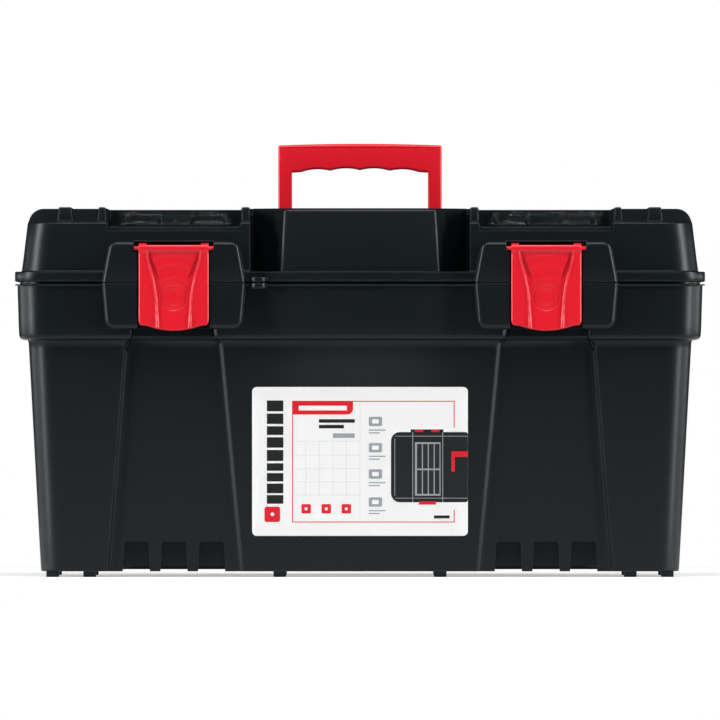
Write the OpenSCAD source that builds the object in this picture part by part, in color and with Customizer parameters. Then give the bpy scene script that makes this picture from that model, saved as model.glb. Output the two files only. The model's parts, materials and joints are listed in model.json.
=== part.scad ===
// Plastic toolbox: hinged lid with two lidded organisers, fold-down handle,
// two front latches and a lift-out tray. Units are millimetres.
// X runs left to right, Y front (latches) to back (hinges), Z up. The origin is
// the centre of the footprint on the floor.

/* [Overall] */
// Width over the rim
width = 597; // [540:1:660]
// Depth from the latch fronts to the hinge knuckles
depth = 285; // [270:1:300]
// Height of the parting line between base and lid
split_z = 254.7; // [235:0.1:270]
// Height of the lid above the parting line, to the top of its ribs
lid_h = 65.3; // [60:0.1:80]

/* [Walls] */
// General wall thickness
wall = 2.4; // [2:0.1:3.2]
// Inward lean of the base walls from rim to floor
base_lean = 10.5; // [4:0.5:14]
// Corner radius of the rim seen from above
rim_r = 26; // [15:1:40]
// How far the middle of the front bows forward
bow = 10.9; // [4:0.1:12]

/* [Latches] */
// Distance of each latch and organiser from the middle
latch_x = 160.9; // [140:0.1:170]
// Width of a latch
latch_w = 60.5; // [45:0.5:70]

/* [Handle] */
// Width over the handle legs
handle_w = 142; // [120:1:144]
// Height of the grip's top above its pivots
handle_reach = 75.6; // [65:0.1:80]
// Thickness of the handle legs, side to side
leg_w = 12; // [8:0.5:14]

/* [Organisers] */
// Width of an organiser bay
bay_w = 115.7; // [90:0.1:118]
// Rows of pockets in an organiser
rows = 2; // [2:1:6]

/* [Tray] */
// Depth of the tray below its rim
tray_h = 52; // [35:1:70]
// Removable dividers on each side of the tray grip
tray_div = 2; // [1:1:3]

/* [Hidden] */
$fn = 48;
rim_a = width / 2;
y_front = -depth / 2;
y_back = depth / 2;
rim_yb = y_back - 11.5;
rim_yf = y_front + 2 + bow;
top_z = split_z + lid_h;
collar_z = split_z - 49.7;
ledge_z = collar_z + wall;
floor_z = 9.9;
// how far the lower walls stand in from the rim, and the height over which they lean
step_in = 11.7;
lean_run = 196;
// the label on the front, and its middle's height
label_w = 186.5;
label_h = 128.8;
label_z = 100.1;
foot_w = 11;
arch_h = 31;
arch_z = 36;
// beyond the front and back of everything, for cuts that go right through
out_f = y_front - 7.5;
out_b = y_back + 7.5;
// lines that follow the front wall
arch_y = rim_yf + 31.1;
foot_yf = rim_yf + 28.6;
foot_yb = rim_yb - 43;
foot_d = 15;
bay_yf = rim_yf + 15.1;
step_y = rim_yf + 55.1;
eave_y = rim_yf + 11;
// seams where the mouldings are divided into simpler pieces
seam_z = floor_z + wall + 0.05;
seam_f = rim_yf + step_in + base_lean + wall + 1;
seam_b = rim_yb - step_in - base_lean - wall - 2.4;
seam_x = rim_a - 58.5;
lid_seam = 62.6;
// hinge between base and lid
hinge_y = y_back - 7.2;
hinge_z = split_z - 0.7;
hinge_r = 4;
knuckle_r = 7.2;
// handle pivots
piv_y = -14;
piv_z = top_z - 20;
// latch pins
lp_y = y_front + 4.4;
lp_z = split_z + 29.6;
face_y = y_front + 2;
// organiser covers
oc_y = rim_yb - 33;
oc_z = top_z - 9;
slope_f = top_z - 13;
slope_b = top_z - 1;
slope_y = rim_yf + 84.6;
black = [0.13, 0.15, 0.17];
red = [0.85, 0.1, 0.15];

function rrect(a, yf, yb, r, b = 0, n = 8) = concat(
    [for (i = [0:n]) [a - r + r * cos(i * 90 / n), yb - r + r * sin(i * 90 / n)]],
    [for (i = [0:n]) [-a + r - r * sin(i * 90 / n), yb - r + r * cos(i * 90 / n)]],
    [for (i = [0:n]) [-a + r - r * cos(i * 90 / n), yf + r - r * sin(i * 90 / n)]],
    b > 0 ? [for (i = [-8:8]) [i * 10.5, yf - b * (1 - i * i / 64)]] : [],
    [for (i = [0:n]) [a - r + r * sin(i * 90 / n), yf + r - r * cos(i * 90 / n)]]);

// footprint drawn d millimetres inside the rim's outline
module plan(d, b = 0) {
    polygon(rrect(rim_a - d, rim_yf + d, rim_yb - d, rim_r - d * 0.25, b));
}

// the same footprint, leaning from d0 at the bottom to d1 at the top
module drafted(z0, z1, d0, d1, b = 0) {
    translate([0, 0, z0])
        linear_extrude(z1 - z0, slices = 1, scale = [(rim_a - d1) / (rim_a - d0), (rim_yb - d1) / (rim_yb - d0)])
            plan(d0, b);
}

module xz(y0, y1) {
    translate([0, y1, 0])
        rotate([90, 0, 0])
            linear_extrude(y1 - y0) children();
}

module yz(x0, x1) {
    translate([x0, 0, 0])
        rotate([90, 0, 90])
            linear_extrude(x1 - x0) children();
}

module box(x0, x1, y0, y1, z0, z1) {
    translate([x0, y0, z0]) cube([x1 - x0, y1 - y0, z1 - z0]);
}

module rod(x0, x1, y, z, r) {
    translate([x0, y, z]) rotate([0, 90, 0]) cylinder(h = x1 - x0, r = r);
}

// knuckle on the hinge line with its arm; up = 1 for the lid, -1 for the base
module knuckle(x0, x1, up) {
    rod(x0, x1, hinge_y, hinge_z, knuckle_r);
    if (up > 0) box(x0, x1, rim_yb - 8, hinge_y, split_z + 0.2, hinge_z + knuckle_r);
    if (up < 0) box(x0, x1, rim_yb - 8, hinge_y, hinge_z - knuckle_r - 6, hinge_z - 0.2);
}

// ---- base ----

// leans a shape with the front wall
module lean() multmatrix([[1, 0, 0, 0], [0, 1, -base_lean / lean_run, 0], [0, 0, 1, 0]]) children();

module surround(z0, z1, h0, h1) {
    xz(face_y, rim_yf + 8)
        polygon([[-h0, z0], [h0, z0], [h1, z1], [-h1, z1]]);
}

// the whole base moulding, divided below into its floor and four walls
module base_moulding() {
    difference() {
        union() {
            drafted(5, collar_z + 2, step_in + base_lean, step_in);
            drafted(collar_z + 5, split_z - 2.5, 3.6, 2.1, bow);
            drafted(collar_z, collar_z + 5, 7.6, 3.6, bow);
            translate([0, 0, split_z - 2.5]) linear_extrude(1.2) plan(0, bow);
            translate([0, 0, split_z - 2]) linear_extrude(3.3) plan(4.5, bow);
            for (s = [-1, 1]) {
                translate([s * latch_x, 0, 0]) {
                    surround(split_z - 40, split_z - 0.4, 59.5, 62.2);
                    for (k = [[-56, -49.3], [49.3, 56]]) knuckle(k[0], k[1], -1);
                    // feet under the outer and inner edges of each front panel
                    for (f = [[100, 110], [67, 79], [-97, -86]])
                        for (g = [[foot_yf, foot_yf + foot_d], [foot_yb, foot_yb + foot_d]])
                            box(s * (f[0] + f[1]) / 2 - foot_w / 2, s * (f[0] + f[1]) / 2 + foot_w / 2,
                                g[0], g[1], 0, 11);
                }
            }
            // padlock lug
            box(-95.5, -80, y_front + 2, rim_yf + 8, split_z - 5, split_z - 0.4);
        }
        // inside, widening at the ledge that carries the tray
        difference() {
            drafted(floor_z + wall, ledge_z + 0.01, step_in + base_lean + wall - 0.6, step_in + wall);
            // wall stands back behind the front arches and panels
            for (s = [-1, 1]) {
                box(s * latch_x - 52, s * latch_x + 52, rim_yf - 0.4, arch_y + 3.5, 0, arch_z);
                lean() xz(rim_yf - 0.4, rim_yf + step_in + base_lean + 3.6 + wall)
                    polygon([[s * latch_x - 62, 30], [s * latch_x + 62, 30],
                        [s * latch_x + 45, ledge_z + 1], [s * latch_x - 45, ledge_z + 1]]);
            }
        }
        drafted(ledge_z, split_z + 4, 6.2, 6.2, bow);
        // underside
        drafted(-1, floor_z, step_in + base_lean + 5, step_in + base_lean + 5.6);
        for (s = [-1, 1]) {
            translate([s * latch_x, 0, 0]) {
                // scooped front panel, leaning with the wall
                lean() xz(rim_yf - 5, rim_yf + step_in + base_lean + 3.6)
                        polygon([[-59.5, 0], [59.5, 0], [41.5, collar_z], [-41.5, collar_z]]);
                // shallow pad under the surround
                box(-37, 37, rim_yf - 2, rim_yf + 6, collar_z - 1, split_z - 40);
                // arches
                for (i = [-1:1])
                    xz(rim_yf + 4.6, arch_y)
                        polygon([[i * 32.6 - 11.8, -1], [i * 32.6 + 11.8, -1], [i * 32.6 + 10.6, arch_h - 3],
                            [i * 32.6 + 7.6, arch_h], [i * 32.6 - 7.6, arch_h], [i * 32.6 - 10.6, arch_h - 3]]);
                // latch slot and hollows behind the surround
                box(-latch_w / 2 - 1, latch_w / 2 + 1, out_f, face_y + 10.5, split_z - 45, split_z + 1);
                for (m = [-1, 1])
                    box(m * 45.2 - 11.2, m * 45.2 + 11.2, face_y + 2.6, face_y + 11, split_z - 36,
                        split_z + 1);
                // room for the lid's knuckles
                for (k = [[-49, -41.5], [-6, 6], [41.5, 49]])
                    rod(k[0] - 0.3, k[1] + 0.3, hinge_y, hinge_z, knuckle_r + 1);
                rod(-56.5, 56.5, hinge_y, hinge_z, hinge_r);
            }
        }
        translate([-87.75, y_front + 8.5, split_z - 9]) cylinder(h = 20, r = 4);
    }
    // catches that the latches close over
    for (s = [-1, 1])
        box(s * latch_x - 12, s * latch_x + 12, y_front + 6.8, y_front + 13, split_z - 27,
            split_z - 22);
}

module front_region() {
    box(-400, 400, -200, seam_f, seam_z, 400);
    box(-seam_x, seam_x, -200, arch_y + 4.5, seam_z, arch_z + 9);
}

module base_floor() color(black) intersection() {
    base_moulding();
    box(-400, 400, -200, 200, -1, seam_z);
}

module base_front(z0, z1) color(black) intersection() {
    base_moulding();
    front_region();
    box(-400, 400, -200, 0, z0, z1);
}

module base_front_wall() base_front(0, collar_z - 0.05);
module base_front_collar() base_front(collar_z - 0.05, 400);

module base_back_wall() color(black) intersection() {
    base_moulding();
    box(-400, 400, seam_b, 200, seam_z, 400);
}

module base_side(s) color(black) intersection() {
    base_moulding();
    box(s < 0 ? -400 : seam_x, s < 0 ? -seam_x : 400, seam_f, seam_b, seam_z, 400);
}

module base_side_left() base_side(-1);
module base_side_right() base_side(1);

module front_label() color([0.96, 0.96, 0.96])
    translate([0, rim_yf + step_in + base_lean * (1 - (label_z - 8) / lean_run) - 0.05, label_z])
        rotate([90 + atan(base_lean / (collar_z - 3)), 0, 0])
            translate([0, 0, 0.02])
                linear_extrude(0.3)
                    polygon(rrect(label_w / 2, -label_h / 2, label_h / 2, 4, 0, 4));

module hinge_pin(s) color(red)
    rod(s * latch_x - 57, s * latch_x + 57, hinge_y, hinge_z, hinge_r);

module hinge_pin_left() hinge_pin(-1);
module hinge_pin_right() hinge_pin(1);

// ---- lid ----

module block_plan() {
    polygon([[-69, out_f], [69, out_f], [67, bay_yf - 0.5], [92, step_y], [96, step_y], [96, out_b],
        [-96, out_b], [-96, step_y], [-92, step_y], [-67, bay_yf - 0.5]]);
}

module lid_outer() {
    intersection() {
        drafted(split_z + 9, top_z, 5.9, 12.6, bow);
        union() {
            // top that climbs from the front edge
            yz(-rim_a, rim_a)
                polygon([[out_f - 10, split_z], [out_b + 10, split_z], [out_b + 10, slope_b], [slope_y, slope_b],
                    [eave_y, slope_f], [eave_y - 3.4, slope_f - 1.5], [out_f - 10, slope_f - 4]]);
            translate([0, 0, split_z]) linear_extrude(lid_h - 1) block_plan();
            for (s = [-1, 1])
                for (q = [[87, 101], [57.9, 66], [-65.9, -57.9]]) {
                    box(s * latch_x + min(s * q[0], s * q[1]), s * latch_x + max(s * q[0], s * q[1]),
                        out_f, out_b, split_z, top_z);
                }
        }
    }
}

module lid_room() {
    difference() {
        union() {
            drafted(split_z - 3, split_z + 7, 4, 4, bow);
            intersection() {
                drafted(split_z + 6.9, top_z, 9, 15.6, bow);
                union() {
                    yz(-rim_a, rim_a)
                        polygon([[out_f - 10, split_z], [out_b + 10, split_z], [out_b + 10, slope_b - wall],
                            [slope_y + 1, slope_b - wall], [eave_y, slope_f - wall - 0.5],
                            [out_f - 10, slope_f - wall - 4]]);
                    translate([0, 0, split_z]) linear_extrude(lid_h - 4.5) offset(delta = -wall) block_plan();
                }
            }
        }
        for (s = [-1, 1]) {
            box(s * latch_x - bay_w / 2 - 2.6, s * latch_x + bay_w / 2 + 2.6, out_f, oc_y + 11, split_z + 9.3,
                top_z + 1);
            box(s * 82.5 - 17, s * 82.5 + 17, out_f, step_y + 3.5, split_z + 7, top_z + 1);
        }
        box(-83, 83, piv_y - 12, piv_y + handle_reach + 6, piv_z - 14, top_z + 1);
    }
}

// the whole lid moulding, divided below at the sides of the organiser bays
module lid_moulding() {
    difference() {
        union() {
            lid_outer();
            drafted(split_z + 0.8, split_z + 9.5, 0, 0.4, bow);
            for (s = [-1, 1])
                translate([s * latch_x, 0, 0]) {
                    surround(split_z + 0.4, split_z + 36, 62.2, 57);
                    for (k = [[-48.7, -41.5], [-6, 6], [41.5, 48.7]]) knuckle(k[0], k[1], 1);
                }
            box(-95.5, -80, y_front + 2, rim_yf + 8, split_z + 0.4, split_z + 4.5);
        }
        lid_room();
        // ledges either side of the centre block
        for (s = [-1, 1])
            translate([0, 0, split_z + 9.5]) linear_extrude(lid_h)
                polygon([[s * 95, out_f], [s * 70, out_f], [s * 67, bay_yf - 0.5], [s * 91.5, step_y],
                    [s * 95, step_y]]);
        // recess that takes the folded handle, and the slots for its legs
        box(-handle_w / 2 - 1.6, handle_w / 2 + 1.6, piv_y + 16.5, piv_y + handle_reach + 2.4, piv_z - 11,
            top_z + 1);
        for (s = [-1, 1]) {
            box(s * (handle_w - leg_w) / 2 - leg_w / 2 - 0.8, s * (handle_w - leg_w) / 2 + leg_w / 2 + 0.8,
                piv_y - 8.6, piv_y + 17, piv_z - 9, top_z + 1);
            box(s * 74 - 5, s * 74 + 5, piv_y - 5, piv_y + 16.5, top_z - 6, top_z + 1);
            translate([s * latch_x, 0, 0]) {
                // organiser bay with its lowered front
                box(-bay_w / 2, bay_w / 2, bay_yf, oc_y + 8, split_z + 11.8, top_z + 1);
                box(-bay_w / 2, bay_w / 2, out_f, bay_yf + 0.5, top_z - 20.4, top_z + 1);
                // latch slot, pin recess and pin holes
                box(-latch_w / 2 - 1, latch_w / 2 + 1, out_f, face_y + 10.5, split_z - 1, split_z + 35.2);
                box(-34.5, 34.5, out_f, face_y + 8, split_z + 26.3, split_z + 35.2);
                rod(-38.5, 38.5, lp_y, lp_z, 2);
                for (m = [-1, 1])
                    box(m * 46 - 8.5, m * 46 + 8.5, face_y + 2.6, face_y + 13, split_z - 1, split_z + 32);
                for (k = [[-56, -49.3], [49.3, 56]])
                    rod(k[0] - 0.3, k[1] + 0.3, hinge_y, hinge_z, knuckle_r + 1);
                rod(-57, 57, hinge_y, hinge_z, hinge_r + 0.06);
            }
        }
        rod(-handle_w / 2 - 7, handle_w / 2 + 7, piv_y, piv_z, 4.05);
        translate([-87.75, y_front + 8.5, split_z - 1]) cylinder(h = 8, r = 4);
    }
    // ears that carry the organiser covers
    for (s = [-1, 1])
        for (e = [-42.5, -14.5, 14.5, 42.5])
            difference() {
                union() {
                    rod(s * latch_x + e - 2, s * latch_x + e + 2, oc_y, oc_z, 4.3);
                    box(s * latch_x + e - 2, s * latch_x + e + 2, oc_y, oc_y + 9, oc_z - 4.3, oc_z + 4.3);
                }
                rod(s * latch_x + e - 3, s * latch_x + e + 3, oc_y, oc_z, 2.56);
            }
}

module lid_part(x0, x1, y0 = -200, y1 = 200, z0 = 0, z1 = 400) color(black) intersection() {
    lid_moulding();
    box(x0, x1, y0, y1, z0, z1);
}

module lid_block() lid_part(-latch_x + lid_seam, latch_x - lid_seam, -200, piv_y - 16, 0, top_z - 6);
module lid_block_top() lid_part(-latch_x + lid_seam, latch_x - lid_seam, -200, piv_y - 16, top_z - 6);
module lid_recess() lid_part(-latch_x + lid_seam, latch_x - lid_seam, piv_y - 16, 200);
module lid_bay_left() lid_part(-latch_x - lid_seam, -latch_x + lid_seam);
module lid_bay_right() lid_part(latch_x - lid_seam, latch_x + lid_seam);
module lid_end_left() lid_part(-400, -latch_x - lid_seam);
module lid_end_right() lid_part(latch_x + lid_seam, 400);

// ---- handle ----

module handle() color(red) {
    ro = handle_w / 2;
    difference() {
        union() {
            // grip with a slightly crowned top
            xz(piv_y - 8, piv_y + 8)
                polygon(concat([[ro, piv_z], [ro, piv_z + handle_reach - 4],
                    [ro - 1, piv_z + handle_reach - 2], [ro - 3, piv_z + handle_reach - 1.4]],
                    [for (i = [-3:3]) [-i * 20, piv_z + handle_reach - 0.155 * i * i]],
                    [[-ro + 3, piv_z + handle_reach - 1.4], [-ro + 1, piv_z + handle_reach - 2],
                    [-ro, piv_z + handle_reach - 4], [-ro, piv_z]]));
            for (s = [-1, 1])
                rod(s * (ro - leg_w / 2) - leg_w / 2, s * (ro - leg_w / 2) + leg_w / 2, piv_y, piv_z, 8);
        }
        // opening with finger scallops
        xz(piv_y - 20, piv_y + 20)
            polygon(concat([[ro - leg_w, piv_z - 12], [ro - leg_w, piv_z + handle_reach - 28],
                [ro - leg_w - 3, piv_z + handle_reach - 25.1]],
                [for (i = [0:32]) [51 - i * 3.1875,
                    piv_z + handle_reach - 25.1 + 3.7 * sqrt(max(0, 1 - pow(2 * (i % 8) / 8 - 1, 2)))]],
                [[-ro + leg_w + 3, piv_z + handle_reach - 25.1],
                [-ro + leg_w, piv_z + handle_reach - 28], [-ro + leg_w, piv_z - 12]]));
    }
    for (s = [-1, 1])
        rod(s * (ro + 2.5) - 3.5, s * (ro + 2.5) + 3.5, piv_y, piv_z, 4);
}

// ---- latches ----

module latch(s) color(red)
    translate([s * latch_x, 0, 0])
        difference() {
            union() {
                // plate with a curved lower edge
                xz(y_front + 0.8, y_front + 3.6)
                    polygon(concat([[latch_w / 2, lp_z], [-latch_w / 2, lp_z],
                        [-latch_w / 2, split_z - 33.6], [-latch_w / 2 + 1, split_z - 36],
                        [-latch_w / 2 + 3.5, split_z - 37.1]],
                        [for (i = [-5:5]) [i * 4.2, split_z - 41.7 + 0.148 * i * i]],
                        [[latch_w / 2 - 3.5, split_z - 37.1], [latch_w / 2 - 1, split_z - 36],
                        [latch_w / 2, split_z - 33.6]]));
                rod(-latch_w / 2, latch_w / 2, lp_y, lp_z, 4.4);
                // side walls and the closing ledge
                for (m = [-1, 1])
                    box(m * (latch_w / 2 - 1.1) - 1.1, m * (latch_w / 2 - 1.1) + 1.1, y_front + 1,
                        y_front + 8, split_z - 33, lp_z);
                box(-11, 11, y_front + 3.4, y_front + 6.5, split_z - 32, split_z - 28.4);
                // raised ridges
                for (m = [-1, 1])
                    box(m * 15 - 0.9, m * 15 + 0.9, y_front, y_front + 1.2, split_z - 39, split_z - 4);
            }
            rod(-latch_w, latch_w, lp_y, lp_z, 2.05);
        }

module latch_left() latch(-1);
module latch_right() latch(1);

module latch_pin(s) color(red)
    rod(s * latch_x - 38.4, s * latch_x + 38.4, lp_y, lp_z, 2);

module latch_pin_left() latch_pin(-1);
module latch_pin_right() latch_pin(1);

// ---- organisers ----

org_y0 = bay_yf + 0.6;
org_y1 = oc_y + 7.4;
org_z0 = split_z + 12;
org_z1 = top_z - 17;

module organiser_insert(s) color(black)
    translate([s * latch_x, 0, 0])
        difference() {
            box(-bay_w / 2 + 0.6, bay_w / 2 - 0.6, org_y0, org_y1, org_z0, org_z1);
            for (i = [0:3])
                box(-bay_w / 2 + 2.2 + i * (bay_w - 2.8) / 4, -bay_w / 2 + 0.6 + (i + 1) * (bay_w - 2.8) / 4,
                    org_y0 + 1.6, org_y1 - 1.6, org_z0 + 1.8, org_z1 + 1);
        }

module organiser_insert_left() organiser_insert(-1);
module organiser_insert_right() organiser_insert(1);

module organiser_dividers(s) color(black)
    translate([s * latch_x, 0, 0])
        for (i = [0:3])
            for (j = [1:rows - 1])
                box(-bay_w / 2 + 2.35 + i * (bay_w - 2.8) / 4, -bay_w / 2 + 0.45 + (i + 1) * (bay_w - 2.8) / 4,
                    org_y0 + j * (org_y1 - org_y0) / rows - 0.7, org_y0 + j * (org_y1 - org_y0) / rows + 0.7,
                    org_z0 + 1.85, org_z1 - 2);

module organiser_dividers_left() organiser_dividers(-1);
module organiser_dividers_right() organiser_dividers(1);

cover_a = (bay_w - 17.7) / 2;
cover_yf = bay_yf + 8.5;

module organiser_cover(s) color([0.85, 0.9, 0.92, 0.4])
    translate([s * latch_x, 0, 0]) {
        difference() {
            box(-cover_a, cover_a, cover_yf, oc_y - 5, top_z - 14, top_z - 4);
            box(-cover_a + 2, cover_a - 2, cover_yf + 2, oc_y - 7, top_z - 15, top_z - 6.2);
        }
        // finger tongue
        translate([0, cover_yf + 2, top_z - 14])
            linear_extrude(2.2)
                polygon([[-19, 0], [-19, -6], [-16, -9.2], [16, -9.2], [19, -6], [19, 0]]);
        // hinge barrels with stub pins
        for (m = [-1, 1]) {
            rod(m * 28.5 - 11.5, m * 28.5 + 11.5, oc_y, oc_z, 4);
            rod(m * 28.5 - 15.5, m * 28.5 + 15.5, oc_y, oc_z, 2.5);
            box(m * 28.5 - 11.5, m * 28.5 + 11.5, oc_y - 6, oc_y, oc_z - 2, oc_z + 4);
        }
    }

module organiser_cover_left() organiser_cover(-1);
module organiser_cover_right() organiser_cover(1);

// ---- tray ----

tray_d = 13.2 + wall;

// the whole tray moulding, divided below into floor, walls, spine and grip
module tray_moulding()
    difference() {
        union() {
            drafted(ledge_z - tray_h, ledge_z + 0.2, tray_d + 5 + tray_h * 0.06, tray_d + 4);
            translate([0, 0, ledge_z + 0.05]) linear_extrude(3) plan(7.2);
            box(-60, 60, -9, 9, ledge_z - 2, ledge_z + 36);
        }
        difference() {
            drafted(ledge_z - tray_h + 2.2, ledge_z + 8, tray_d + 7 + tray_h * 0.06, tray_d + 6);
            // spine and grip
            box(-rim_a, rim_a, -10.5, 10.5, 0, ledge_z + 8);
        }
        // hollow of the spine, and the grip opening
        box(-rim_a + 40, rim_a - 40, -8.3, 8.3, ledge_z - tray_h - 1, ledge_z + 0.8);
        xz(-20, 20)
            polygon([[-48, ledge_z + 10], [-42, ledge_z + 4], [42, ledge_z + 4], [48, ledge_z + 10],
                [48, ledge_z + 20], [42, ledge_z + 26], [-42, ledge_z + 26], [-48, ledge_z + 20]]);
    }

tray_zf = ledge_z - tray_h + 2.25;
tray_zs = ledge_z + 3.1;
tray_yf = rim_yf + tray_d + 11.5;
tray_yb = rim_yb - tray_d - 11.9;
tray_x = rim_a - 30.5;

module tray_part(x0, x1, y0, y1, z0, z1) color(black) intersection() {
    tray_moulding();
    box(x0, x1, y0, y1, z0, z1);
}

module tray_floor() tray_part(-400, 400, -200, 200, 0, tray_zf);
module tray_front_wall() tray_part(-400, 400, -200, tray_yf, tray_zf, 400);
module tray_back_wall() tray_part(-400, 400, tray_yb, 200, tray_zf, 400);
module tray_end_left() tray_part(-400, -tray_x, tray_yf, tray_yb, tray_zf, 400);
module tray_end_right() tray_part(tray_x, 400, tray_yf, tray_yb, tray_zf, 400);
module tray_spine() tray_part(-tray_x, tray_x, -12, 12, tray_zf, tray_zs);
module tray_grip() tray_part(-tray_x, tray_x, -12, 12, tray_zs, 400);

module tray_dividers() color(black)
    for (s = [-1, 1])
        for (t = [-1, 1])
            for (i = [1:tray_div])
                box(s * i * (rim_a - 48.5) / (tray_div + 1) - 1, s * i * (rim_a - 48.5) / (tray_div + 1) + 1,
                    t < 0 ? tray_yf - 0.2 : 10.9, t < 0 ? -10.9 : tray_yb - 0.8, ledge_z - tray_h + 2.3, ledge_z - 4);

base_floor();
base_front_wall();
base_front_collar();
base_back_wall();
base_side_left();
base_side_right();
front_label();
hinge_pin_left();
hinge_pin_right();
lid_block();
lid_block_top();
lid_recess();
lid_bay_left();
lid_bay_right();
lid_end_left();
lid_end_right();
handle();
latch_left();
latch_right();
latch_pin_left();
latch_pin_right();
organiser_insert_left();
organiser_insert_right();
organiser_dividers_left();
organiser_dividers_right();
organiser_cover_left();
organiser_cover_right();
tray_floor();
tray_front_wall();
tray_back_wall();
tray_end_left();
tray_end_right();
tray_spine();
tray_grip();
tray_dividers();
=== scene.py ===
import json
import math
import bmesh
import bpy
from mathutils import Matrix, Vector


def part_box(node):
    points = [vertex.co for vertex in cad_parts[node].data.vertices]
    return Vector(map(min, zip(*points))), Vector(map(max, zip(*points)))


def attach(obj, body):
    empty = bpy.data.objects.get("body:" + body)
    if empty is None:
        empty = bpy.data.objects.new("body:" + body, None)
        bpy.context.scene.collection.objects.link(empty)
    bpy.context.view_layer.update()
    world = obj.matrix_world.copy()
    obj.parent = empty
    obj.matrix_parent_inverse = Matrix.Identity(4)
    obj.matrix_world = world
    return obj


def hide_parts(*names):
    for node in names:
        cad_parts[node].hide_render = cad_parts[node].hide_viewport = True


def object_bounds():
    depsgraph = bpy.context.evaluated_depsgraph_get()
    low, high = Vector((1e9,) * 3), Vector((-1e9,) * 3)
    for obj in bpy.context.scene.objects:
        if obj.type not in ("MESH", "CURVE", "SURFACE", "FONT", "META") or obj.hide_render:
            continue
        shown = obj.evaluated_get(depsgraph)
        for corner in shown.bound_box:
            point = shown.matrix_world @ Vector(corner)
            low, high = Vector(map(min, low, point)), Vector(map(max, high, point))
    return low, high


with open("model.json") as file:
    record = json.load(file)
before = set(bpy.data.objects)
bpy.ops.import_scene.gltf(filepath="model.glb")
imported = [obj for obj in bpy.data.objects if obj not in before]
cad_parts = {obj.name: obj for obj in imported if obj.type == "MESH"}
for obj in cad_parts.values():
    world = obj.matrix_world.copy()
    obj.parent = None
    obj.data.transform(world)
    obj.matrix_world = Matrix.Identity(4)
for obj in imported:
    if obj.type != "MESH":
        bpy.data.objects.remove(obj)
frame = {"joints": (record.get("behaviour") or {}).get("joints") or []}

cad_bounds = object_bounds()


# ---- Camera ----
# A long lens standing well back, level with the upper part of the base,
# so the front is seen square on with almost no perspective.

MM = 0.001
STAND_OFF = 20000
VIEW_WIDTH = 621.6
EYE_HEIGHT = 187.8
lens = bpy.data.cameras.new("camera")
lens.sensor_width = 36
lens.lens = lens.sensor_width * STAND_OFF / VIEW_WIDTH
lens.clip_end = 50
camera = bpy.data.objects.new("camera", lens)
camera.location = (0, cad_bounds[0].y - STAND_OFF * MM, EYE_HEIGHT * MM)
camera.rotation_euler = (math.radians(90), 0, 0)
bpy.context.scene.collection.objects.link(camera)
bpy.context.scene.camera = camera


# ---- Base shell ----
# The body of the box, injection moulded in black polypropylene. It leans in
# towards the floor, and its upper part steps out into a collar with a rim.

def pivot(name):
    """The place of a joint, in millimetres."""
    joint = next(j for j in frame["joints"] if j["name"] == name)
    return [c / MM for c in joint["pos_m"]]


def extent(*nodes):
    """The lowest and highest corner of some nodes, in millimetres."""
    boxes = [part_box(node) for node in nodes]
    return [[pick(corners[end][i] for corners in boxes) / MM for i in range(3)]
            for end, pick in ((0, min), (1, max))]


BASE = ["base_floor", "base_front_wall", "base_front_collar", "base_back_wall",
        "base_side_left", "base_side_right"]
base_low, base_high = extent(*BASE)
WALL = 2.4
FLOOR = 9.9
BOW = 10.9
BOW_HALF = 88
BOW_SOFTNESS = 0.06
KNUCKLE_REACH = 11.5
COLLAR_H = 49.7
COLLAR_INSET = 3.6
LEAN = 10.5
HALF_W = base_high[0]
FACE_Y = base_low[1]
RIM_FRONT = FACE_Y + BOW
RIM_BACK = base_high[1] - KNUCKLE_REACH
RIM_R = 26
CORNER_STEPS = 9
HINGE_Y, HINGE_Z = pivot("lid_hinge")[1:]
SPLIT = HINGE_Z + 0.7
LATCH_X = pivot("latch_right_swing")[0]
PANEL_X = (-LATCH_X, LATCH_X)
COLLAR_Z = SPLIT - COLLAR_H
LEDGE_Z = COLLAR_Z + WALL


def ease(value, start, end):
    """0 before start, 1 after end, and a smooth climb between them."""
    t = min(max((value - start) / (end - start), 0), 1)
    return t * t * (3 - 2 * t)


def bulge(x):
    """The shape, from 0 to 1, of the front's forward bow."""
    rise = max(0, 1 - (x / BOW_HALF) ** 2)
    return rise * rise / (rise + BOW_SOFTNESS) * (1 + BOW_SOFTNESS)


def footprint(inset, bow=0.0, xs=(), dents=None, front=None):
    """The rim's outline moved inwards, with points at xs along its front."""
    half = HALF_W - inset
    back_y = RIM_BACK - inset
    front_y = RIM_FRONT + (inset if front is None else front)
    r = RIM_R - inset * 0.25
    corners = ((half - r, back_y - r, 0), (-half + r, back_y - r, 90),
               (-half + r, front_y + r, 180), (half - r, front_y + r, 270))
    arcs = []
    for cx, cy, start in corners:
        turns = [math.radians(start + 90 * i / CORNER_STEPS) for i in range(CORNER_STEPS + 1)]
        arcs.append([(cx + r * math.cos(a), cy + r * math.sin(a)) for a in turns])
    dents = dents or [0] * len(xs)
    edge = [(x, front_y - bow * bulge(x) + dent) for x, dent in zip(xs, dents)]
    return arcs[0] + arcs[1] + arcs[2] + edge + arcs[3]


def finish_mesh(name, bm, sharp=30):
    """Closes a bmesh into an object whose edges above the angle stay crisp."""
    bmesh.ops.recalc_face_normals(bm, faces=bm.faces)
    mesh = bpy.data.meshes.new(name)
    bm.to_mesh(mesh)
    bm.free()
    mesh.transform(((MM, 0, 0, 0), (0, MM, 0, 0), (0, 0, MM, 0), (0, 0, 0, 1)))
    shade(mesh, sharp)
    piece = bpy.data.objects.new(name, mesh)
    bpy.context.scene.collection.objects.link(piece)
    return piece


def shade(mesh, sharp):
    """Smooth shading, apart from edges above an angle."""
    mesh.shade_smooth()
    mesh.set_sharp_from_angle(angle=math.radians(sharp))


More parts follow.
